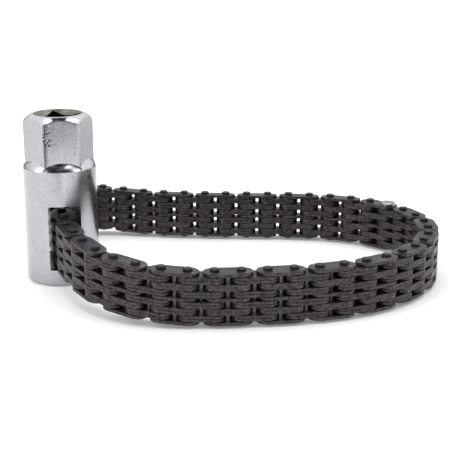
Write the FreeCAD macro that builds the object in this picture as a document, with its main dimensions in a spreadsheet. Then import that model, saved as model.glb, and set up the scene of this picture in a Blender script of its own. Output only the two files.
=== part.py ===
import FreeCAD, Part
import os
import math
import Sketcher

# Chain-type oil filter wrench: a drive socket with a slot through its lower
# half, and an endless loop of leaf chain that passes through the slot.
#
# Frame: origin at the centre of the socket's bottom face, +Z up the socket's
# axis, the slot runs along Y (its front mouth towards -Y) and the chain loop
# reaches out towards +X.  Millimetres and degrees.

V = FreeCAD.Vector
Rot = FreeCAD.Rotation
Pla = FreeCAD.Placement

doc = FreeCAD.newDocument("OilFilterWrench")

# ---------------------------------------------------------------- dimensions
DIMS = [
    # drive socket
    ("socket_diameter", 29.0),        # cylindrical lower part
    ("socket_height", 67.0),
    ("base_radius", 1.2),             # rounded bottom edge
    ("cylinder_top", 46.0),           # where the shoulder starts
    ("hex_across_flats", 24.0),
    ("hex_corner_radius", 1.3),
    ("hex_corner_r", 13.856),         # sharp corner distance, flats / sqrt 3
    ("hex_start", 40.0),              # hexagon begins inside the cylinder
    ("shoulder_mid_r", 13.7),
    ("shoulder_mid_z", 47.5),
    ("shoulder_top_r", 11.6),
    ("shoulder_top_z", 49.4),
    ("crown_rim_r", 9.9),             # inner edge of the crowned top chamfer
    ("crown_mid_r", 12.1),
    ("crown_mid_drop", 1.15),
    ("crown_low_r", 14.2),
    ("crown_low_drop", 3.75),
    ("drive_square", 12.8),           # 1/2 inch female square
    ("drive_depth", 17.0),
    ("drive_turn", 6.6),              # corner of the square, off the +X axis
    ("drive_corner", 0.35),
    ("countersink_r", 9.6),
    ("countersink_low_r", 5.9),
    ("countersink_drop", 2.2),
    ("detent_ball_r", 2.4),
    ("detent_depth", 8.2),
    ("detent_centre", 5.4),
    # slot for the chain
    ("slot_width", 12.8),
    ("slot_floor", 6.55),
    ("slot_roof", 32.4),
    ("slot_corner", 1.0),             # upper corners only
    # leaf chain, pitch 3/8 inch, fifteen plates high
    ("chain_pitch", 9.525),
    ("plate_radius", 4.2),            # half the plate's depth
    ("plate_thickness", 1.165),
    ("pair_gap", 0.03),               # between two plates of one link
    ("link_gap", 0.2),                # between plates of neighbouring links
    ("pin_radius", 1.7),
    ("pin_edge", 0.22),
    ("pin_foot", 0.8),                # lower pin ends below the end plates
    ("pin_proud", 1.1),               # upper pin ends above the end plates
    ("pin_length", 21.155),
    ("pressed_hole_r", 1.715),
    ("running_hole_r", 1.78),
    ("raked_hole_r", 1.83),           # plates that lean on the upright pins
    ("open_hole_r", 1.88),            # the joint closed by the joining pin
    ("join_head_r", 3.1),
    ("join_head_height", 1.3),
    ("join_head_edge", 0.35),
    ("join_head_lift", 0.08),         # clear of the plate, which leans a little
    # where the chain stands
    ("slot_pin_x", 0.0),
    ("slot_pin_y", -9.292),
    ("slot_pin_z", 7.10022),
]

# Heading of each link seen from above, from the pin in the slot round the
# front, the far end and the back, and the slope of each link: the chain lies
# flat except where it climbs into the slot.  The lean is how far each link's
# plates lean sideways on the pins, positive towards the left of its heading.
HEADINGS = [
    -88.82600, -81.04500, -76.18800, -66.71000, -54.64800, -41.19800, -28.63800, -18.67700,
    -12.49400, -9.46200, -7.31900, -4.89300, -0.97800, 4.53200, 11.64400, 19.35200,
    28.90800, 36.58700, 45.99400, 55.80100, 66.06931, 76.03800, 87.17200, 99.77300,
    111.23800, 121.89100, 133.91200, 145.28700, 153.91600, 159.45600, 162.80500, 164.29600,
    163.95800, 162.68236, 161.15900, 159.42900, 157.65700, 156.62900, 162.19800, 177.44900,
    202.89200, 234.08100, 262.93100, 273.34800, 271.73500, 270.17000, 270.00900, 269.99700,
]
SLOPES = [
    -1.76100, -3.55200, -5.33600, -6.85900, -7.37800, -6.56700, -5.28000, -3.62400,
    -1.82300, 0.00000, 0.00000, 0.00000, 0.00000, 0.00000, 0.00000, 0.00000,
    0.00000, 0.00000, 0.00000, 0.00000, 0.00000, 0.00000, 0.00000, 0.00000,
    0.00000, 0.00000, 0.00000, 0.00000, 0.00000, 0.00000, 0.00000, 0.00000,
    0.00000, 0.00000, 0.00000, 0.00000, 1.82100, 3.64200, 5.41100, 4.16900,
    3.43400, 3.33000, 3.77300, 5.39900, 5.52100, 3.70400, 1.88300, 0.06201,
]
LEANS = [
    0.00, 0.00, 0.00, 0.00, 0.00, 0.00, 0.00, 0.00,
    0.00, 0.00, 0.00, 0.00, 0.12, 0.62, 1.53, 2.55,
    3.39, 3.85, 3.84, 3.27, 2.26, 1.12, 0.00, -0.65,
    -1.10, -1.20, -2.20, -3.50, -4.40, -5.10, -5.42, -5.48,
    -5.50, -5.49, -5.45, -5.24, -4.84, -4.23, -3.37, -2.40,
    -1.45, -0.67, 0.00, 0.00, 0.00, 0.00, 0.00, 0.00,
]
LINKS = len(HEADINGS)

sheet = doc.addObject("Spreadsheet::Sheet", "sheet")
row = 1
for name, value in DIMS:
    sheet.set("A%d" % row, name)
    sheet.set("B%d" % row, repr(value))
    sheet.setAlias("B%d" % row, name)
    row += 1
for i in range(LINKS):
    sheet.set("D%d" % (i + 1), "link %d heading, slope and lean" % i)
    sheet.set("E%d" % (i + 1), "%.5f" % HEADINGS[i])
    sheet.setAlias("E%d" % (i + 1), "heading_%02d" % i)
    sheet.set("F%d" % (i + 1), "%.5f" % SLOPES[i])
    sheet.setAlias("F%d" % (i + 1), "slope_%02d" % i)
    sheet.set("G%d" % (i + 1), "%.5f" % LEANS[i])
    sheet.setAlias("G%d" % (i + 1), "lean_%02d" % i)
doc.recompute()


def D(name):
    return float(sheet.get(name))


# ------------------------------------------------------------ sketch helpers
def val(expr):
    """Value of an expression of sheet names."""
    names = {}
    for n, _ in DIMS:
        names[n] = D(n)
    total = 0.0
    # expressions used here are sums and differences of names, halves and numbers
    for sign, term in split_terms(expr):
        v = 1.0
        parts = term.replace("/", " / ").replace("*", " * ").split()
        op = "*"
        for p in parts:
            if p in ("*", "/"):
                op = p
                continue
            x = names[p] if p in names else float(p)
            v = v * x if op == "*" else v / x
        total += sign * v
    return total


def split_terms(expr):
    out, sign, cur = [], 1, ""
    for ch in expr.replace(" ", ""):
        if ch in "+-":
            if cur:
                out.append((sign, cur))
            sign, cur = (1 if ch == "+" else -1), ""
        else:
            cur += ch
    out.append((sign, cur))
    return out


def bind(expr):
    """The same expression written for setExpression, with lengths in mm."""
    s = ""
    for sign, term in split_terms(expr):
        t = ""
        for p in term.replace("/", " / ").replace("*", " * ").split():
            t += p if p in ("*", "/") or p[0].isdigit() else "sheet." + p
        s += (" + " if sign > 0 else " - ") + t
    s = s.strip()
    if s.startswith("+ "):
        s = s[2:]
    return "(" + s + ") * 1 mm"


def at(sk, geo, pos, xe, ye):
    """Hold a sketch point at the coordinates given by two expressions."""
    for axis, e in (("X", xe), ("Y", ye)):
        v = val(e)
        if abs(v) < 1e-9:
            sk.addConstraint(Sketcher.Constraint("PointOnObject", geo, pos, -2 if axis == "X" else -1))
            continue
        if v > 0:
            n = sk.addConstraint(Sketcher.Constraint("Distance" + axis, -1, 1, geo, pos, v))
            sk.setExpression("Constraints[%d]" % n, bind(e))
        else:
            n = sk.addConstraint(Sketcher.Constraint("Distance" + axis, geo, pos, -1, 1, -v))
            sk.setExpression("Constraints[%d]" % n, "-1 * " + bind(e))


def outline(sk, pts):
    """Closed outline through points; a point given with a third item is the
    middle of an arc from the point before it to the point after it."""
    xy = [(val(p[0]), val(p[1])) for p in pts]
    n = len(pts)
    i, prev, first, ends = 0, None, None, []
    while i < n:
        a = xy[i]
        if len(pts[(i + 1) % n]) == 3:
            b, c, step = xy[(i + 1) % n], xy[(i + 2) % n], 2
            g = sk.addGeometry(Part.ArcOfCircle(V(a[0], a[1], 0), V(b[0], b[1], 0), V(c[0], c[1], 0)), False)
            ccw = (b[0] - a[0]) * (c[1] - a[1]) - (b[1] - a[1]) * (c[0] - a[0]) > 0
            s, e = (1, 2) if ccw else (2, 1)
            m = sk.addGeometry(Part.Point(V(b[0], b[1], 0)), True)
            at(sk, m, 1, pts[(i + 1) % n][0], pts[(i + 1) % n][1])
            sk.addConstraint(Sketcher.Constraint("PointOnObject", m, 1, g))
        else:
            c, step = xy[(i + 1) % n], 1
            g = sk.addGeometry(Part.LineSegment(V(a[0], a[1], 0), V(c[0], c[1], 0)), False)
            s, e = 1, 2
        at(sk, g, s, pts[i][0], pts[i][1])
        if prev is not None:
            sk.addConstraint(Sketcher.Constraint("Coincident", prev[0], prev[1], g, s))
        else:
            first = (g, s)
        prev = (g, e)
        i += step
    sk.addConstraint(Sketcher.Constraint("Coincident", prev[0], prev[1], first[0], first[1]))


def plane(body, role):
    for f in body.Origin.OriginFeatures:
        if f.Role == role:
            return f
    raise RuntimeError("no plane " + role)


def sketch(body, name, role, offset=None, turn=None):
    sk = body.newObject("Sketcher::SketchObject", name)
    sk.AttachmentSupport = [(plane(body, role), "")]
    sk.MapMode = "FlatFace"
    if offset:
        sk.AttachmentOffset = Pla(V(0, 0, val(offset)), Rot())
        sk.setExpression("AttachmentOffset.Base.z", bind(offset))
    if turn:
        sk.setExpression("AttachmentOffset.Rotation.Angle", "(" + turn + ") * 1 deg")
    return sk


def volume(feature):
    doc.recompute()
    return feature.Shape.Volume


# ------------------------------------------------------------------- socket
socket = doc.addObject("PartDesign::Body", "socket_body")
socket.Label = "socket_body"

# hexagonal upper part, a flat facing along the slot
sk = sketch(socket, "hex_sketch", "XY_Plane", "hex_start")
r = D("hex_corner_r")
lines = []
for i in range(6):
    a0, a1 = math.radians(60 * i), math.radians(60 * (i + 1))
    lines.append(sk.addGeometry(Part.LineSegment(V(r * math.cos(a0), r * math.sin(a0), 0),
                                                 V(r * math.cos(a1), r * math.sin(a1), 0)), False))
circle = sk.addGeometry(Part.Circle(V(0, 0, 0), V(0, 0, 1), r), True)
for i in range(6):
    sk.addConstraint(Sketcher.Constraint("Coincident", lines[i], 2, lines[(i + 1) % 6], 1))
    sk.addConstraint(Sketcher.Constraint("PointOnObject", lines[i], 1, circle))
for i in range(5):
    sk.addConstraint(Sketcher.Constraint("Equal", lines[i], lines[i + 1]))
sk.addConstraint(Sketcher.Constraint("Coincident", circle, 3, -1, 1))
sk.addConstraint(Sketcher.Constraint("PointOnObject", lines[0], 1, -1))
n = sk.addConstraint(Sketcher.Constraint("Distance", -1, 1, lines[1], D("hex_across_flats") / 2))
sk.setExpression("Constraints[%d]" % n, "sheet.hex_across_flats / 2 * 1 mm")
hexpad = socket.newObject("PartDesign::Pad", "hex_pad")
hexpad.Profile = sk
hexpad.setExpression("Length", bind("socket_height - hex_start"))
doc.recompute()

upright = []
for i, e in enumerate(hexpad.Shape.Edges):
    p, q = e.Vertexes[0].Point, e.Vertexes[-1].Point
    if abs(p.x - q.x) < 1e-6 and abs(p.y - q.y) < 1e-6:
        upright.append("Edge%d" % (i + 1))
assert len(upright) == 6
corners = socket.newObject("PartDesign::Fillet", "hex_corners")
corners.Base = (hexpad, upright)
corners.setExpression("Radius", bind("hex_corner_radius"))
doc.recompute()

# turned lower part with the curved shoulder that runs into the flats
sk = sketch(socket, "turned_sketch", "XZ_Plane")
mid = 1 - math.sqrt(0.5)
outline(sk, [
    ("0", "0"),
    ("socket_diameter / 2 - base_radius", "0"),
    ("socket_diameter / 2 - base_radius * %.6f" % mid, "base_radius * %.6f" % mid, "arc"),
    ("socket_diameter / 2", "base_radius"),
    ("socket_diameter / 2", "cylinder_top"),
    ("shoulder_mid_r", "shoulder_mid_z", "arc"),
    ("shoulder_top_r", "shoulder_top_z"),
    ("0", "shoulder_top_z"),
])
turned = socket.newObject("PartDesign::Revolution", "turned_body")
turned.Profile = sk
turned.ReferenceAxis = (sk, ["V_Axis"])
turned.Angle = 360
before = volume(turned)

# crowned chamfer round the top of the hexagon
sk = sketch(socket, "crown_sketch", "XZ_Plane")
outline(sk, [
    ("crown_rim_r", "socket_height"),
    ("crown_mid_r", "socket_height - crown_mid_drop", "arc"),
    ("crown_low_r", "socket_height - crown_low_drop"),
    ("crown_low_r + 3", "socket_height - crown_low_drop"),
    ("crown_low_r + 3", "socket_height + 1"),
    ("crown_rim_r", "socket_height + 1"),
])
crown = socket.newObject("PartDesign::Groove", "crown_groove")
crown.Profile = sk
crown.ReferenceAxis = (sk, ["V_Axis"])
crown.Angle = 360
after = volume(crown)
assert after < before - 50, "crown cut nothing"
before = after

# square drive recess
sk = sketch(socket, "drive_sketch", "XY_Plane", "socket_height", "45 + sheet.drive_turn")
s = D("drive_square") / 2
c = [(-s, -s), (s, -s), (s, s), (-s, s)]
lines = [sk.addGeometry(Part.LineSegment(V(c[i][0], c[i][1], 0), V(c[(i + 1) % 4][0], c[(i + 1) % 4][1], 0)), False)
         for i in range(4)]
for i in range(4):
    sk.addConstraint(Sketcher.Constraint("Coincident", lines[i], 2, lines[(i + 1) % 4], 1))
sk.addConstraint(Sketcher.Constraint("Horizontal", lines[0]))
sk.addConstraint(Sketcher.Constraint("Vertical", lines[1]))
sk.addConstraint(Sketcher.Constraint("Symmetric", lines[0], 1, lines[2], 1, -1, 1))
sk.addConstraint(Sketcher.Constraint("Symmetric", lines[0], 2, lines[2], 2, -1, 1))
sk.addConstraint(Sketcher.Constraint("Equal", lines[0], lines[1]))
n = sk.addConstraint(Sketcher.Constraint("DistanceX", lines[0], 1, lines[0], 2, 2 * s))
sk.setExpression("Constraints[%d]" % n, bind("drive_square"))
drive = socket.newObject("PartDesign::Pocket", "drive_recess")
drive.Profile = sk
drive.Type = "Length"
drive.setExpression("Length", bind("drive_depth"))
after = volume(drive)
assert before - after > 2000, "drive recess cut nothing"
before = after

# conical countersink that leads the drive in
sk = sketch(socket, "countersink_sketch", "XZ_Plane")
outline(sk, [
    ("0", "socket_height - countersink_drop"),
    ("countersink_low_r", "socket_height - countersink_drop"),
    ("countersink_r", "socket_height"),
    ("countersink_r", "socket_height + 1"),
    ("0", "socket_height + 1"),
])
sink = socket.newObject("PartDesign::Groove", "drive_countersink")
sink.Profile = sk
sink.ReferenceAxis = (sk, ["V_Axis"])
sink.Angle = 360
after = volume(sink)
assert before - after > 50, "countersink cut nothing"
before = after

# hollows for the drive's detent ball, one in each wall of the square
for i in range(4):
    ball = socket.newObject("PartDesign::SubtractiveSphere", "detent_%d" % (i + 1))
    ang = math.radians(45 + D("drive_turn") + 90 * i)
    ball.setExpression("Radius", bind("detent_ball_r"))
    ball.AttachmentSupport = [(plane(socket, "XY_Plane"), "")]
    ball.MapMode = "ObjectXY"
    ball.AttachmentOffset = Pla(V(D("detent_centre") * math.cos(ang), D("detent_centre") * math.sin(ang),
                                  D("socket_height") - D("detent_depth")), Rot())
    after = volume(ball)
    assert 1 < before - after < 40, "detent hollow is wrong: %r" % (before - after)
    before = after

# slot through the cylinder for the chain
sk = sketch(socket, "slot_sketch", "XZ_Plane")
q = "slot_corner * %.6f" % mid
outline(sk, [
    ("0 - slot_width / 2", "slot_floor"),
    ("slot_width / 2", "slot_floor"),
    ("slot_width / 2", "slot_roof - slot_corner"),
    ("slot_width / 2 - " + q, "slot_roof - " + q, "arc"),
    ("slot_width / 2 - slot_corner", "slot_roof"),
    ("0 - slot_width / 2 + slot_corner", "slot_roof"),
    ("0 - slot_width / 2 + " + q, "slot_roof - " + q, "arc"),
    ("0 - slot_width / 2", "slot_roof - slot_corner"),
])
slot = socket.newObject("PartDesign::Pocket", "chain_slot")
slot.Profile = sk
slot.Type = "Length"
slot.SideType = "Symmetric"
slot.setExpression("Length", bind("socket_diameter * 2"))
after = volume(slot)
assert before - after > 7000, "slot cut too little"
socket.Tip = slot
doc.recompute()


# ------------------------------------------------------------- chain pieces
def plate_body(name, hole_a, hole_b):
    """Obround plate: first hole on the origin, second hole one pitch along X,
    centred on its own thickness."""
    b = doc.addObject("PartDesign::Body", name)
    s_ = sketch(b, name + "_sketch", "XY_Plane")
    R_, P_ = D("plate_radius"), D("chain_pitch")
    a1 = s_.addGeometry(Part.ArcOfCircle(Part.Circle(V(0, 0, 0), V(0, 0, 1), R_), math.pi / 2, 3 * math.pi / 2), False)
    l1 = s_.addGeometry(Part.LineSegment(V(0, -R_, 0), V(P_, -R_, 0)), False)
    a2 = s_.addGeometry(Part.ArcOfCircle(Part.Circle(V(P_, 0, 0), V(0, 0, 1), R_), -math.pi / 2, math.pi / 2), False)
    l2 = s_.addGeometry(Part.LineSegment(V(P_, R_, 0), V(0, R_, 0)), False)
    h1 = s_.addGeometry(Part.Circle(V(0, 0, 0), V(0, 0, 1), D(hole_a)), False)
    h2 = s_.addGeometry(Part.Circle(V(P_, 0, 0), V(0, 0, 1), D(hole_b)), False)
    C_ = Sketcher.Constraint
    s_.addConstraint(C_("Coincident", a1, 3, -1, 1))
    s_.addConstraint(C_("PointOnObject", a2, 3, -1))
    s_.addConstraint(C_("Tangent", a1, 2, l1, 1))
    s_.addConstraint(C_("Tangent", l1, 2, a2, 1))
    s_.addConstraint(C_("Tangent", a2, 2, l2, 1))
    s_.addConstraint(C_("Tangent", l2, 2, a1, 1))
    s_.addConstraint(C_("Coincident", h1, 3, a1, 3))
    s_.addConstraint(C_("Coincident", h2, 3, a2, 3))
    for con, ex in ((C_("Radius", a1, R_), "plate_radius"), (C_("DistanceX", a1, 3, a2, 3, P_), "chain_pitch"),
                    (C_("Radius", h1, D(hole_a)), hole_a), (C_("Radius", h2, D(hole_b)), hole_b)):
        k = s_.addConstraint(con)
        s_.setExpression("Constraints[%d]" % k, bind(ex))
    pad = b.newObject("PartDesign::Pad", name + "_pad")
    pad.Profile = s_
    pad.SideType = "Symmetric"
    pad.setExpression("Length", bind("plate_thickness"))
    doc.recompute()
    want = (math.pi * R_ * R_ + 2 * R_ * P_ - math.pi * (D(hole_a) ** 2 + D(hole_b) ** 2)) * D("plate_thickness")
    assert abs(b.Shape.Volume - want) < 0.01 * want, name
    return b


plates = {
    "outer_flat": plate_body("outer_plate", "pressed_hole_r", "pressed_hole_r"),
    "outer_raked": plate_body("outer_plate_raked", "raked_hole_r", "raked_hole_r"),
    "inner_flat": plate_body("inner_plate", "running_hole_r", "running_hole_r"),
    "inner_raked": plate_body("inner_plate_raked", "raked_hole_r", "raked_hole_r"),
    "inner_open": plate_body("inner_plate_open", "raked_hole_r", "open_hole_r"),
}


def pin_body(name, headed):
    """Turned pin, standing on its lower end."""
    b = doc.addObject("PartDesign::Body", name)
    s_ = sketch(b, name + "_sketch", "XZ_Plane")
    pts = [("0", "0"), ("pin_radius - pin_edge", "0"), ("pin_radius", "pin_edge")]
    if headed:
        low = "pin_length - pin_proud + join_head_lift"
        pts += [("pin_radius", low),
                ("join_head_r", low),
                ("join_head_r", low + " + join_head_height - join_head_edge"),
                ("join_head_r - join_head_edge", low + " + join_head_height"),
                ("0", low + " + join_head_height")]
    else:
        pts += [("pin_radius", "pin_length - pin_edge"), ("pin_radius - pin_edge", "pin_length"), ("0", "pin_length")]
    outline(s_, pts)
    rv = b.newObject("PartDesign::Revolution", name + "_turned")
    rv.Profile = s_
    rv.ReferenceAxis = (s_, ["V_Axis"])
    rv.Angle = 360
    doc.recompute()
    assert b.Shape.Volume > 100, name
    return b


link_pin = pin_body("link_pin", False)
headed_pin = pin_body("headed_pin", True)

# Height of each plate's middle above the lower end of the pins.  Fifteen
# layers: O is an outer link's plate, I an inner link's plate.
LAYERS = "OIIOOIIOIIOOIIO"
heights, z = [], D("pin_foot")
for i, kind in enumerate(LAYERS):
    if i:
        z += D("pair_gap") if LAYERS[i - 1] == kind else D("link_gap")
    heights.append(z + D("plate_thickness") / 2)
    z += D("plate_thickness")
assert abs(z + D("pin_proud") - D("pin_length")) < 0.002, z
outer_z = [h for h, k in zip(heights, LAYERS) if k == "O"]
inner_z = [h for h, k in zip(heights, LAYERS) if k == "I"]

# Pins: number 0 stands in the slot, number i + 1 ends link i.
pins = [V(D("slot_pin_x"), D("slot_pin_y"), D("slot_pin_z"))]
for i in range(LINKS):
    hd, sl = math.radians(D("heading_%02d" % i)), math.radians(D("slope_%02d" % i))
    run = D("chain_pitch") * math.cos(sl)
    pins.append(pins[-1] + V(run * math.cos(hd), run * math.sin(hd), D("chain_pitch") * math.sin(sl)))
gap = (pins[LINKS] - pins[0]).Length
print("loop closes within %.5f mm" % gap)
assert gap < 0.01

JOINING = 25      # the bright headed pin that closes the loop
sub_parts = [socket]


def array(name, target, places):
    a = doc.addObject("App::Link", name)
    a.LinkedObject = target
    a.ShowElement = False
    a.ElementCount = len(places)
    a.PlacementList = places
    return a


def placed(name, members, base, heading):
    c_ = doc.addObject("Part::Compound", name)
    c_.Label = name
    c_.Links = members
    c_.Placement = Pla(base, Rot(V(0, 0, 1), heading))
    sub_parts.append(c_)
    return c_


for i in range(LINKS):
    slope = D("slope_%02d" % i)
    lean = D("lean_%02d" % i)
    raked = abs(slope) > 0.01 or abs(lean) > 0.01
    outer = i % 2 == 1
    name = ("outer_link_%02d" if outer else "inner_link_%02d") % (i // 2 + 1)
    if outer:
        kind, levels = ("outer_raked" if raked else "outer_flat"), outer_z
    elif i == JOINING - 1:
        kind, levels = "inner_open", inner_z
    else:
        kind, levels = ("inner_raked" if raked else "inner_flat"), inner_z
    rake = Rot(V(0, 1, 0), -slope) * Rot(V(1, 0, 0), -lean)
    members = [array(name + "_plates", plates[kind], [Pla(V(0, 0, h), rake) for h in levels])]
    if outer:
        far = V(D("chain_pitch") * math.cos(math.radians(slope)), 0, D("chain_pitch") * math.sin(math.radians(slope)))
        spots = []
        if i != JOINING:
            spots.append(V(0, 0, 0))
        if i != LINKS - 1:
            spots.append(far)
        members.append(array(name + "_pins", link_pin, [Pla(p, Rot()) for p in spots]))
    placed(name, members, pins[i], D("heading_%02d" % i))

placed("joining_pin", [array("joining_pin_turned", headed_pin, [Pla()])], pins[JOINING], D("heading_%02d" % JOINING))
placed("slot_pin", [array("slot_pin_turned", link_pin, [Pla()])], pins[0], 0.0)

doc.recompute()

# ------------------------------------------------------------------- checks
for o in doc.Objects:
    if "Invalid" in o.State or "Error" in o.State:
        raise RuntimeError("failed: %s %s" % (o.Name, o.State))
expected = {"socket_body": 1, "joining_pin": 1, "slot_pin": 1}
os.makedirs("parts", exist_ok=True)
total = 0
for o in sub_parts:
    shape = o.Shape
    if shape.isNull() or not shape.isValid():
        raise RuntimeError("bad shape: " + o.Label)
    if o.Label in expected:
        want = expected[o.Label]
    elif o.Label.startswith("inner"):
        want = len(inner_z)
    else:
        want = len(outer_z) + (1 if o.Label in ("outer_link_13", "outer_link_24") else 2)
    if len(shape.Solids) != want:
        raise RuntimeError("%s has %d solids, not %d" % (o.Label, len(shape.Solids), want))
    total += want
for o in sub_parts:
    o.Shape.exportStep("parts/%s.step" % o.Label)
print("%d nodes, %d solids" % (len(sub_parts), total))
for i, p in enumerate(pins[:LINKS]):
    print("pin %2d  %.4f %.4f %.4f" % (i, p.x, p.y, p.z))
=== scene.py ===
import math

import bpy
from mathutils import Matrix, Vector

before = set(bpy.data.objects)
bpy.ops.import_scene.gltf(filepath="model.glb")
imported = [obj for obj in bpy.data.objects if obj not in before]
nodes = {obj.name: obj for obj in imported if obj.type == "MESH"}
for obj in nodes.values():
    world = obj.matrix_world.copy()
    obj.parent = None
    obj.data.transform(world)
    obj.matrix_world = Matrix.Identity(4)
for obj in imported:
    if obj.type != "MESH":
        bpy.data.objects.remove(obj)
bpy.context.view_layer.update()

scene = bpy.context.scene


# ------------------------------------------------------------------- camera
AZ, PITCH, ROLL = math.radians(13.8046), math.radians(15.6118), math.radians(-0.0285)
fw = Vector((math.sin(AZ) * math.cos(PITCH), math.cos(AZ) * math.cos(PITCH), -math.sin(PITCH)))
rt = Vector((math.cos(AZ), -math.sin(AZ), 0.0))
dn = fw.cross(rt)
cam_x = math.cos(ROLL) * rt + math.sin(ROLL) * dn
cam_down = -math.sin(ROLL) * rt + math.cos(ROLL) * dn
cam_data = bpy.data.cameras.new("camera")
cam_data.sensor_fit = "HORIZONTAL"
cam_data.sensor_width = 36.0
cam_data.lens = 1053.447 / 450.0 * 36.0
cam_data.clip_start = 0.01
cam_data.clip_end = 20.0
camera = bpy.data.objects.new("camera", cam_data)
rot = Matrix((cam_x, -cam_down, -fw)).transposed().to_4x4()
camera.matrix_world = Matrix.Translation(Vector((-0.0339996, -0.4142298, 0.1359796))) @ rot
scene.collection.objects.link(camera)
scene.camera = camera


# --------------------------------------------------------------- node helpers
class Mat:
    """Small helper to build a node material."""

    def __init__(self, name):
        self.m = bpy.data.materials.new(name)
        self.m.use_nodes = True
        self.t = self.m.node_tree
        self.b = self.t.nodes["Principled BSDF"]
        self.coord = self.t.nodes.new("ShaderNodeTexCoord").outputs["Object"]

    def node(self, kind, **props):
        n = self.t.nodes.new(kind)
        for k, v in props.items():
            setattr(n, k, v)
        return n

    def link(self, a, b):
        self.t.links.new(a, b)

    def noise(self, scale, detail=4.0, rough=0.55, vector=None):
        n = self.node("ShaderNodeTexNoise")
        n.inputs["Scale"].default_value = scale
        n.inputs["Detail"].default_value = detail
        n.inputs["Roughness"].default_value = rough
        self.link(vector or self.coord, n.inputs["Vector"])
        return n.outputs["Fac"]

    def stretch(self, sx, sy, sz):
        n = self.node("ShaderNodeMapping")
        n.inputs["Scale"].default_value = (sx, sy, sz)
        self.link(self.coord, n.inputs["Vector"])
        return n.outputs["Vector"]

    def cells(self, scale, feature="F1", vector=None):
        n = self.node("ShaderNodeTexVoronoi", feature=feature)
        n.inputs["Scale"].default_value = scale
        self.link(vector or self.coord, n.inputs["Vector"])
        return n.outputs["Distance"]

    def ramp(self, fac, stops):
        n = self.node("ShaderNodeValToRGB")
        e = n.color_ramp.elements
        while len(e) < len(stops):
            e.new(0.5)
        for el, (p, c) in zip(e, stops):
            el.position = p
            el.color = (c, c, c, 1.0) if isinstance(c, float) else (*c, 1.0)
        self.link(fac, n.inputs["Fac"])
        return n.outputs["Color"]

    def math(self, op, a, b=None, c=None, clamp=False):
        n = self.node("ShaderNodeMath", operation=op, use_clamp=clamp)
        for i, v in enumerate((a, b, c)):
            if v is None:
                continue
            if isinstance(v, (int, float)):
                n.inputs[i].default_value = v
            else:
                self.link(v, n.inputs[i])
        return n.outputs[0]

    def mix(self, fac, a, b, blend="MIX"):
        n = self.node("ShaderNodeMix", data_type="RGBA", blend_type=blend)
        for i, v in ((0, fac), (6, a), (7, b)):
            if isinstance(v, (int, float)):
                n.inputs[i].default_value = v
            elif isinstance(v, tuple):
                n.inputs[i].default_value = (*v, 1.0)
            else:
                self.link(v, n.inputs[i])
        return n.outputs[2]

    def to_range(self, v, lo, hi, frm=0.0, to=1.0):
        n = self.node("ShaderNodeMapRange")
        self.link(v, n.inputs["Value"])
        n.inputs["From Min"].default_value = frm
        n.inputs["From Max"].default_value = to
        n.inputs["To Min"].default_value = lo
        n.inputs["To Max"].default_value = hi
        return n.outputs["Result"]

    def bump(self, height, strength, distance, normal=None):
        n = self.node("ShaderNodeBump")
        n.inputs["Strength"].default_value = strength
        n.inputs["Distance"].default_value = distance
        self.link(height, n.inputs["Height"])
        if normal is not None:
            self.link(normal, n.inputs["Normal"])
        return n.outputs["Normal"]

    def edges(self, lo, hi):
        """White along sharp outer edges, from the mesh's pointiness."""
        g = self.node("ShaderNodeNewGeometry")
        return self.to_range(g.outputs["Pointiness"], 0.0, 1.0, lo, hi)


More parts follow.
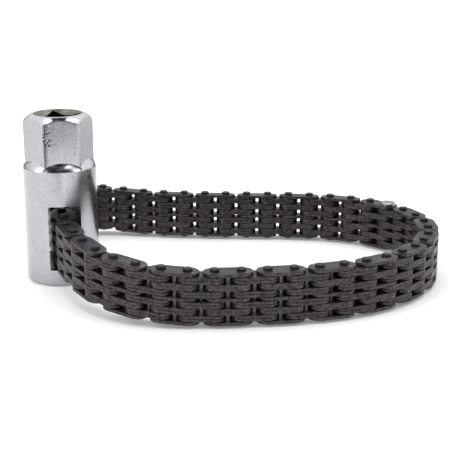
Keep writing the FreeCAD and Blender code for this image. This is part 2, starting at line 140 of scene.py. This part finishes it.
# ------------------------------------------------------------------ materials
def chrome():
    """Satin-bright plating with fine grain, faint clouding and pits; the countersink and the recess are duller, and
    painted darker and browner as shade.
    Painted highlights, painted dark reflections and painted shade are laid on by position."""
    m = Mat("socket_chrome")
    b = m.b
    b.inputs["Metallic"].default_value = 1.0
    cloud = m.noise(90.0, 5.0, 0.6)
    fine = m.noise(2600.0, 3.0, 0.6)
    streak = m.noise(500.0, 3.0, 0.5, m.stretch(1.0, 1.0, 0.12))
    tone = m.ramp(cloud, [(0.30, (0.395, 0.395, 0.412)), (0.70, (0.46, 0.46, 0.478))])
    speck = m.ramp(m.noise(1900.0, 3.0, 0.6), [(0.50, 0.0), (0.72, 1.0)])
    tone = m.mix(m.to_range(m.noise(1500.0, 2.0, 0.6), 0.0, 0.45, 0.35, 0.70), tone, (0.56, 0.56, 0.575))
    col = m.mix(m.math("MULTIPLY", speck, 0.55), tone, (0.19, 0.19, 0.195))
    # where the surface lies, in metres from the middle of the base
    xyz = m.node("ShaderNodeSeparateXYZ")
    m.link(m.coord, xyz.inputs[0])
    x, y, z = xyz.outputs[0], xyz.outputs[1], xyz.outputs[2]
    r = m.math("SQRT", m.math("ADD", m.math("MULTIPLY", x, x), m.math("MULTIPLY", y, y)))
    inside = m.math("MULTIPLY", m.to_range(r, 1.0, 0.0, 0.00955, 0.00965), m.to_range(z, 0.0, 1.0, 0.048, 0.049))
    shape = m.node("ShaderNodeNewGeometry")
    facing = m.node("ShaderNodeSeparateXYZ")
    m.link(shape.outputs["Normal"], facing.inputs[0])
    # painted shade: the walls and the far end of the recess are painted near black
    deep_shade = m.math("MULTIPLY", inside, m.math("MAXIMUM", m.to_range(facing.outputs[2], 1.0, 0.0, 0.25, 0.55), m.to_range(z, 1.0, 0.0, 0.0610, 0.0630)))
    # painted shade: a darker, browner colour for the countersink and the recess
    recess_shade_tone = m.ramp(m.noise(260.0, 3.0, 0.5), [(0.30, (0.17, 0.155, 0.130)), (0.70, (0.30, 0.28, 0.245))])
    # painted highlight: a brighter colour on the rounded chamfer and shoulder
    highlight_mask = m.math("MULTIPLY", m.to_range(facing.outputs[2], 0.0, 0.80, 0.10, 0.35), m.to_range(r, 0.0, 1.0, 0.00965, 0.00975))
    highlight_mask = m.math("MULTIPLY", highlight_mask, m.to_range(z, 0.0, 1.0, 0.0459, 0.0464))
    reach_x = m.math("MAXIMUM", m.to_range(x, 1.0, 0.0, -0.0070, -0.0058), m.to_range(x, 0.0, 1.0, 0.0012, 0.0024))
    upper = m.to_range(z, 0.0, 1.0, 0.0550, 0.0560)
    highlight_mask = m.math("MULTIPLY", highlight_mask, m.math("MAXIMUM", upper, reach_x))
    highlight_mask = m.math("MULTIPLY", highlight_mask, m.to_range(m.math("ABSOLUTE", x), 1.0, 0.45, 0.0108, 0.0128))
    col = m.mix(highlight_mask, col, (0.86, 0.86, 0.895))
    # painted reflection: a dark patch in the middle of the front chamfer
    dark_reflection_mask = m.math("MULTIPLY", m.to_range(x, 0.0, 1.0, -0.0036, -0.0030), m.to_range(x, 1.0, 0.0, 0.0016, 0.0021))
    dark_reflection_mask = m.math("MULTIPLY", dark_reflection_mask, m.math("MULTIPLY", m.to_range(y, 1.0, 0.0, -0.0108, -0.0104), upper))
    dark_reflection_mask = m.math("MULTIPLY", dark_reflection_mask, m.to_range(facing.outputs[2], 0.0, 0.9, 0.30, 0.45))
    col = m.mix(dark_reflection_mask, col, (0.085, 0.085, 0.10))
    col = m.mix(inside, col, recess_shade_tone)
    col = m.mix(deep_shade, col, (0.018, 0.014, 0.011))
    # a rougher right-hand wall of the slot
    wall = m.math("MULTIPLY", m.to_range(x, 0.0, 1.0, 0.00630, 0.00635), m.to_range(x, 1.0, 0.0, 0.00645, 0.00650))
    wall = m.math("MULTIPLY", wall, m.to_range(z, 1.0, 0.0, 0.0320, 0.0330))
    wall = m.math("MULTIPLY", wall, m.to_range(facing.outputs[0], 1.0, 0.0, -0.9, -0.8))
    # pits at the upper left of the front flat, each with a painted highlight on a rim set off to one side
    ragged = m.noise(330.0, 3.0, 0.6)
    reach = m.math("ADD", m.to_range(x, 1.20, -0.50, -0.0070, 0.0005), m.to_range(ragged, -0.75, 0.75, 0.3, 0.7))
    band = m.math("MULTIPLY", m.to_range(z, 0.0, 1.0, 0.0560, 0.0585), m.to_range(y, 1.0, 0.0, -0.0119, -0.0116))
    here = m.math("MULTIPLY", m.math("MULTIPLY", reach, band, clamp=True), 1.0, clamp=True)
    aside = m.node("ShaderNodeMapping")
    aside.inputs["Location"].default_value = (0.00024, 0.0, -0.00026)
    m.link(m.coord, aside.inputs["Vector"])
    nick = m.math("MULTIPLY", m.ramp(m.noise(1150.0, 2.0, 0.5), [(0.520, 0.0), (0.580, 1.0)]), here)
    lip_highlight = m.math("MULTIPLY", m.ramp(m.noise(1150.0, 2.0, 0.5, aside.outputs["Vector"]), [(0.530, 0.0), (0.590, 1.0)]), here)
    # painted shade: the front flat darkens along its left edge and under its arched top edge
    flat = m.math("MULTIPLY", m.to_range(y, 1.0, 0.0, -0.01185, -0.01165), m.to_range(z, 0.0, 1.0, 0.047, 0.048))
    off = m.math("SUBTRACT", r, 0.00773)
    arch = m.math("ADD", m.math("SQRT", m.math("SUBTRACT", 0.00716 ** 2, m.math("MULTIPLY", off, off))), 0.06017)
    under = m.to_range(m.math("SUBTRACT", arch, z), 0.85, 0.0, 0.00015, 0.00060)
    under = m.math("MULTIPLY", under, m.to_range(facing.outputs[2], 1.0, 0.0, 0.02, 0.10))
    beside = m.to_range(m.math("ADD", x, m.to_range(ragged, -0.0006, 0.0006, 0.3, 0.7)), 0.72, 0.0, -0.0062, -0.0047)
    shade = m.math("MULTIPLY", m.math("MAXIMUM", under, beside), flat)
    col = m.mix(shade, col, (0.11, 0.11, 0.115))
    # painted shade: a dark arc in the inside corner where the shoulder meets the flats
    ax, ay = m.math("ABSOLUTE", x), m.math("ABSOLUTE", y)
    flats = m.math("MAXIMUM", ay, m.math("ADD", m.math("MULTIPLY", ax, 0.866), m.math("MULTIPLY", ay, 0.5)))
    flats = m.math("ADD", flats, m.to_range(ragged, -0.0002, 0.0002, 0.3, 0.7))
    wider = m.math("MULTIPLY", m.to_range(x, 0.0, 0.0010, -0.0068, -0.0050), m.to_range(x, 1.0, 0.0, 0.0000, 0.0016))
    crease_shade = m.to_range(m.math("SUBTRACT", flats, wider), 1.0, 0.0, 0.01245, 0.01310)
    crease_shade = m.math("MULTIPLY", crease_shade, m.math("MULTIPLY", m.to_range(facing.outputs[2], 0.0, 1.0, 0.2, 0.4), m.to_range(z, 1.0, 0.0, 0.0500, 0.0504)))
    where = m.math("MAXIMUM", m.to_range(ay, 0.0, 0.93, 0.01170, 0.01195), m.to_range(ax, 0.0, 0.75, 0.0110, 0.0128))
    col = m.mix(m.math("MULTIPLY", crease_shade, where), col, (0.020, 0.019, 0.022))
    # painted highlight on the rims beside the pits
    col = m.mix(m.math("MULTIPLY", lip_highlight, 0.8), col, (0.80, 0.80, 0.82))
    col = m.mix(m.math("MULTIPLY", nick, 0.92), col, (0.035, 0.033, 0.035))
    m.link(col, b.inputs["Base Color"])
    rough = m.math("ADD", m.to_range(cloud, 0.13, 0.21, 0.3, 0.7), m.to_range(streak, -0.03, 0.05, 0.3, 0.7))
    rough = m.math("ADD", rough, m.math("MULTIPLY", inside, 0.14))
    rough = m.math("ADD", rough, m.math("MULTIPLY", wall, 0.36))
    m.link(rough, b.inputs["Roughness"])
    # small pits that gather in patches all over
    pit = m.ramp(m.cells(620.0), [(0.10, 0.0), (0.24, 1.0)])
    patch = m.ramp(m.noise(150.0, 2.0, 0.5), [(0.56, 1.0), (0.66, 0.0)])
    pits = m.math("MAXIMUM", pit, patch)
    h = m.math("ADD", m.math("MULTIPLY", fine, 0.14), m.math("MULTIPLY", streak, 0.08))
    n1 = m.bump(h, 0.22, 0.00012)
    n2 = m.bump(pits, 0.45, 0.00012, n1)
    n3 = m.bump(m.math("MULTIPLY", nick, -1.0), 1.0, 0.0007, n2)
    m.link(n3, b.inputs["Normal"])
    return m.m


def oxide(name, dark, light, tint, rough=(0.31, 0.49), seed=0.0):
    """Dark oiled oxide on stamped steel: fine grain, a warm cast in patches."""
    m = Mat(name)
    b = m.b
    b.inputs["Metallic"].default_value = 0.72
    b.inputs["Specular IOR Level"].default_value = 0.5
    v = m.node("ShaderNodeMapping")
    v.inputs["Location"].default_value = (seed, seed * 0.7, seed * 0.3)
    m.link(m.coord, v.inputs["Vector"])
    vec = v.outputs["Vector"]
    cloud = m.noise(130.0, 4.0, 0.6, vec)
    patch = m.noise(55.0, 3.0, 0.55, vec)
    fine = m.noise(2400.0, 4.0, 0.62, vec)
    grain = m.noise(900.0, 4.0, 0.6, vec)
    tone = m.mix(m.to_range(cloud, 0.0, 1.0, 0.32, 0.70), dark, light)
    tone = m.mix(m.to_range(patch, 0.0, 0.75, 0.50, 0.68), tone, tint)
    shape = m.node("ShaderNodeNewGeometry")
    facing = m.node("ShaderNodeSeparateXYZ")
    m.link(shape.outputs["Normal"], facing.inputs[0])
    # painted light and shade: faces that point up are lightened to a blue-grey and side faces darkened to a brown,
    # as light falls from above
    lit_top = m.to_range(facing.outputs[2], 0.0, 1.0, 0.75, 0.97)
    tone = m.mix(m.math("MULTIPLY", lit_top, 0.60), tone, (0.043, 0.043, 0.051))
    tone = m.mix(m.math("MULTIPLY", m.math("SUBTRACT", 1.0, lit_top), 0.62), tone, (0.0155, 0.0076, 0.0070))
    tone = m.mix(m.ramp(fine, [(0.59, 0.0), (0.78, 0.50)]), tone, (0.22, 0.203, 0.197))
    # lighter rubbed plate edges: partly wear, partly a painted highlight along the edges
    wear_and_edge_highlight = m.edges(0.520, 0.59)
    tone = m.mix(m.math("MULTIPLY", wear_and_edge_highlight, m.to_range(grain, 0.05, 0.90, 0.35, 0.65)), tone, (0.27, 0.255, 0.255))
    m.link(tone, b.inputs["Base Color"])
    r = m.math("ADD", m.to_range(cloud, rough[0], rough[1], 0.3, 0.7), m.to_range(fine, -0.05, 0.07, 0.3, 0.7))
    m.link(r, b.inputs["Roughness"])
    h = m.math("ADD", m.math("MULTIPLY", fine, 0.6), m.math("MULTIPLY", grain, 0.5))
    m.link(m.bump(h, 0.42, 0.00010), b.inputs["Normal"])
    return m.m


def bright_steel():
    """Turned bright head of the joining pin, with fine rings of scratches."""
    m = Mat("joining_pin_steel")
    b = m.b
    b.inputs["Metallic"].default_value = 1.0
    cloud = m.noise(400.0, 4.0, 0.6)
    scr = m.noise(1800.0, 3.0, 0.6, m.stretch(1.0, 0.18, 1.0))
    m.link(m.ramp(cloud, [(0.3, (0.36, 0.36, 0.37)), (0.7, (0.48, 0.48, 0.485))]), b.inputs["Base Color"])
    m.link(m.math("ADD", m.to_range(cloud, 0.25, 0.38, 0.3, 0.7), m.to_range(scr, -0.04, 0.06, 0.3, 0.7)), b.inputs["Roughness"])
    m.link(m.bump(scr, 0.25, 0.00008), b.inputs["Normal"])
    return m.m


CHROME = chrome()
OUTER = [
    oxide("outer_oxide_a", (0.0178, 0.0155, 0.0170), (0.0414, 0.0370, 0.0400), (0.0370, 0.0244, 0.0252), seed=0.0),
    oxide("outer_oxide_b", (0.0163, 0.0148, 0.0170), (0.0385, 0.0355, 0.0400), (0.0311, 0.0229, 0.0252), seed=0.31),
]
INNER = [
    oxide("inner_oxide_a", (0.0163, 0.0133, 0.0141), (0.0355, 0.0303, 0.0311), (0.0414, 0.0237, 0.0229), seed=0.57),
    oxide("inner_oxide_b", (0.0155, 0.0133, 0.0148), (0.0340, 0.0303, 0.0326), (0.0340, 0.0222, 0.0229), seed=0.83),
]
PIN = oxide("pin_oxide", (0.0118, 0.0096, 0.0096), (0.0296, 0.0252, 0.0237), (0.0340, 0.0237, 0.0192), rough=(0.22, 0.34), seed=0.2)
STEEL = bright_steel()


def soften(obj, width, segments, angle=32.0):
    """Small broken edges, as modifiers on top of the CAD mesh."""
    w = obj.modifiers.new("weld", "WELD")
    w.merge_threshold = 0.000002
    bv = obj.modifiers.new("edge", "BEVEL")
    bv.width = width
    bv.segments = segments
    bv.limit_method = "ANGLE"
    bv.angle_limit = math.radians(angle)
    bv.harden_normals = False
    bv.use_clamp_overlap = True


def paint(obj, mat):
    if not obj.material_slots:
        obj.data.materials.append(mat)
    for s in obj.material_slots:
        s.link = "OBJECT"
        s.material = mat


for name, obj in nodes.items():
    if name == "socket_body":
        paint(obj, CHROME)
    elif name == "joining_pin":
        paint(obj, STEEL)
    elif name == "slot_pin":
        paint(obj, PIN)
    elif name.startswith("outer_link"):
        paint(obj, OUTER[int(name[-2:]) % 2])
        soften(obj, 0.00016, 2)
    elif name.startswith("inner_link"):
        paint(obj, INNER[int(name[-2:]) % 2])
        soften(obj, 0.00016, 2)

# -------------------------------------------------------------- floor, light
FLOOR_NEAR, FLOOR_FAR = 0.20, 0.70
m = Mat("floor_paper")
grain = m.noise(40.0, 3.0, 0.5)
m.link(m.ramp(grain, [(0.3, (0.86, 0.86, 0.86)), (0.7, (0.88, 0.88, 0.88))]), m.b.inputs["Base Color"])
m.b.inputs["Roughness"].default_value = 0.85
# lit from within a little, so shadows stay faint, and evenly white far away
far = m.node("ShaderNodeVectorMath", operation="LENGTH")
m.link(m.coord, far.inputs[0])
glow = m.to_range(far.outputs["Value"], 0.0, 1.0, 0.35, 1.6)
glow = m.math("MULTIPLY", glow, FLOOR_FAR - FLOOR_NEAR)
m.link(m.math("ADD", glow, FLOOR_NEAR), m.b.inputs["Emission Strength"])
m.b.inputs["Emission Color"].default_value = (1.0, 1.0, 1.0, 1.0)
bpy.ops.mesh.primitive_plane_add(size=12.0, location=(0, 0, -0.0002))
floor = bpy.context.object
floor.name = "floor"
floor.data.materials.append(m.m)

world = bpy.data.worlds.new("world")
scene.world = world
world.use_nodes = True
wt = world.node_tree
back = wt.nodes["Background"]
out = wt.nodes["World Output"]
direction = wt.nodes.new("ShaderNodeTexCoord").outputs["Generated"]
parts = wt.nodes.new("ShaderNodeSeparateXYZ")
wt.links.new(direction, parts.inputs[0])
# a bright ceiling and a white backdrop, and a dim room on the camera's side
height = wt.nodes.new("ShaderNodeValToRGB")
stops = [(0.00, 1.0), (0.28, 1.0), (0.60, 0.0), (1.0, 0.0)]
while len(height.color_ramp.elements) < len(stops):
    height.color_ramp.elements.new(0.5)
for el, (p, v) in zip(height.color_ramp.elements, stops):
    el.position, el.color = p, (v, v, v, 1.0)
wt.links.new(parts.outputs["Z"], height.inputs["Fac"])
front = wt.nodes.new("ShaderNodeMapRange")
front.interpolation_type = "SMOOTHSTEP"
front.inputs["From Min"].default_value = 0.25
front.inputs["From Max"].default_value = -0.55
wt.links.new(parts.outputs["Y"], front.inputs["Value"])
dim = wt.nodes.new("ShaderNodeMath")
dim.operation = "MULTIPLY"
wt.links.new(height.outputs["Color"], dim.inputs[0])
wt.links.new(front.outputs["Result"], dim.inputs[1])
room = wt.nodes.new("ShaderNodeMix")
room.data_type = "RGBA"
# a thin dark line along the horizon all the way round
line = wt.nodes.new("ShaderNodeValToRGB")
stops = [(0.00, 0.80), (0.09, 0.90), (0.19, 0.0), (1.0, 0.0)]
while len(line.color_ramp.elements) < len(stops):
    line.color_ramp.elements.new(0.5)
for el, (p, v) in zip(line.color_ramp.elements, stops):
    el.position, el.color = p, (v, v, v, 1.0)
wt.links.new(parts.outputs["Z"], line.inputs["Fac"])
# the room reaches higher straight in front
side_on = wt.nodes.new("ShaderNodeMath")
side_on.operation = "ABSOLUTE"
wt.links.new(parts.outputs["X"], side_on.inputs[0])
ahead = wt.nodes.new("ShaderNodeMath")
ahead.operation = "MULTIPLY_ADD"
wt.links.new(side_on.outputs[0], ahead.inputs[0])
ahead.inputs[1].default_value = 0.8
wt.links.new(parts.outputs["Y"], ahead.inputs[2])
narrow = wt.nodes.new("ShaderNodeMapRange")
narrow.interpolation_type = "SMOOTHSTEP"
narrow.inputs["From Min"].default_value = -0.05
narrow.inputs["From Max"].default_value = -0.35
wt.links.new(ahead.outputs[0], narrow.inputs["Value"])
tall = wt.nodes.new("ShaderNodeMapRange")
tall.interpolation_type = "SMOOTHSTEP"
tall.inputs["From Min"].default_value = 0.90
tall.inputs["From Max"].default_value = 0.72
wt.links.new(parts.outputs["Z"], tall.inputs["Value"])
column = wt.nodes.new("ShaderNodeMath")
column.operation = "MULTIPLY"
wt.links.new(narrow.outputs["Result"], column.inputs[0])
wt.links.new(tall.outputs["Result"], column.inputs[1])
both = wt.nodes.new("ShaderNodeMath")
both.operation = "MAXIMUM"
wt.links.new(dim.outputs[0], both.inputs[0])
wt.links.new(column.outputs[0], both.inputs[1])
darker = wt.nodes.new("ShaderNodeMath")
darker.operation = "MAXIMUM"
wt.links.new(both.outputs[0], darker.inputs[0])
wt.links.new(line.outputs["Color"], darker.inputs[1])
wt.links.new(darker.outputs[0], room.inputs[0])
room.inputs[6].default_value = (0.98, 0.98, 1.0, 1.0)
room.inputs[7].default_value = (0.07, 0.07, 0.075, 1.0)
wt.links.new(room.outputs[2], back.inputs["Color"])
back.inputs["Strength"].default_value = 0.85
plain = wt.nodes.new("ShaderNodeBackground")
plain.inputs["Color"].default_value = (0.97, 0.97, 0.97, 1.0)
plain.inputs["Strength"].default_value = 1.0
path = wt.nodes.new("ShaderNodeLightPath")
blend = wt.nodes.new("ShaderNodeMixShader")
wt.links.new(path.outputs["Is Camera Ray"], blend.inputs[0])
wt.links.new(back.outputs[0], blend.inputs[1])
wt.links.new(plain.outputs[0], blend.inputs[2])
wt.links.new(blend.outputs[0], out.inputs["Surface"])


def lamp(name, pos, target, size, energy, size_y=None):
    d = bpy.data.lights.new(name, "AREA")
    d.shape = "RECTANGLE"
    d.size = size
    d.size_y = size_y or size
    d.energy = energy
    o = bpy.data.objects.new(name, d)
    o.location = pos
    o.rotation_euler = (Vector(target) - Vector(pos)).to_track_quat("-Z", "Y").to_euler()
    scene.collection.objects.link(o)
    return o


mid = Vector((0.07, 0.0, 0.02))
lamps = [
    lamp("top", (0.10, 0.05, 0.95), mid, 0.86, 5.9),
    lamp("left", (-0.80, -0.30, 0.55), mid, 0.6, 3.0),
    lamp("right", (0.85, -0.45, 0.50), mid, 0.5, 1.5),
]

def card(name, pos, size, target=None):
    """A board seen only in reflections."""
    bpy.ops.mesh.primitive_plane_add(size=1.0, location=pos)
    o = bpy.context.object
    o.name = name
    o.scale = (size[0], size[1], 1.0)
    if target is not None:
        o.rotation_euler = (Vector(target) - Vector(pos)).to_track_quat("Z", "Y").to_euler()
    o.visible_camera = False
    o.visible_diffuse = False
    o.visible_shadow = False
    o.visible_transmission = False
    return o


# a grey card on the table in front, paler towards the socket
front_card = card("front_card", (0.02, -0.44, 0.0006), (0.5, 0.5))
m = Mat("card_grey")
side = m.node("ShaderNodeSeparateXYZ")
m.link(m.coord, side.inputs[0])
spot = m.to_range(m.noise(9.0), -0.03, 0.03)
grey = m.ramp(m.math("ADD", side.outputs[1], spot), [(0.16, (0.26, 0.26, 0.265)), (0.38, (0.95, 0.95, 0.95))])
left = m.math("MULTIPLY", m.to_range(side.outputs[0], 1.0, 0.0, -0.08, -0.04), m.to_range(side.outputs[0], 0.0, 1.0, -0.42, -0.34))
left = m.math("MULTIPLY", left, m.to_range(side.outputs[1], 1.0, 0.0, 0.415, 0.455))
pale = m.math("ADD", m.to_range(side.outputs[0], 0.0, 1.0, 0.09, 0.16), m.to_range(side.outputs[0], 1.0, 0.0, -0.42, -0.34), clamp=True)
tone = m.mix(left, grey, (0.08, 0.08, 0.08))
m.link(m.mix(pale, tone, (0.87, 0.87, 0.87)), m.b.inputs["Base Color"])
near = m.math("MULTIPLY", m.to_range(side.outputs[1], 0.0, 0.45, 0.20, 0.40), m.math("SUBTRACT", 1.0, left))
m.link(m.mix(pale, near, (FLOOR_NEAR, FLOOR_NEAR, FLOOR_NEAR)), m.b.inputs["Emission Strength"])
m.b.inputs["Emission Color"].default_value = (1.0, 1.0, 1.0, 1.0)
m.b.inputs["Roughness"].default_value = 0.9
front_card.data.materials.append(m.m)

# a soft grey patch on the table beyond the right-hand side
side_card = card("side_card", (0.25, 0.165, 0.0006), (0.34, 0.34))
m = Mat("card_pale")
dist = m.node("ShaderNodeVectorMath", operation="LENGTH")
m.link(m.coord, dist.inputs[0])
edge = m.math("ADD", dist.outputs["Value"], m.to_range(m.noise(5.0), -0.03, 0.03))
m.link(m.ramp(edge, [(0.20, (0.68, 0.68, 0.68)), (0.49, (0.87, 0.87, 0.87))]), m.b.inputs["Base Color"])
m.link(m.to_range(edge, 0.0, FLOOR_NEAR, 0.20, 0.49), m.b.inputs["Emission Strength"])
m.b.inputs["Emission Color"].default_value = (1.0, 1.0, 1.0, 1.0)
m.b.inputs["Roughness"].default_value = 0.9
side_card.data.materials.append(m.m)

# a dark gap in the ceiling over the socket
gap = card("ceiling_gap", (0.04, 0.215, 0.66), (0.25, 0.43))
gap_front = card("ceiling_gap_front", (-0.02, -0.10, 0.66), (0.18, 0.20))
m = Mat("gap_black")
m.link(m.ramp(m.noise(8.0), [(0.0, (0.02, 0.02, 0.02)), (1.0, (0.035, 0.035, 0.035))]), m.b.inputs["Base Color"])
m.b.inputs["Roughness"].default_value = 0.9
gap.data.materials.append(m.m)
gap_front.data.materials.append(m.m)

scene.view_settings.view_transform = "Standard"
scene.view_settings.look = "None"
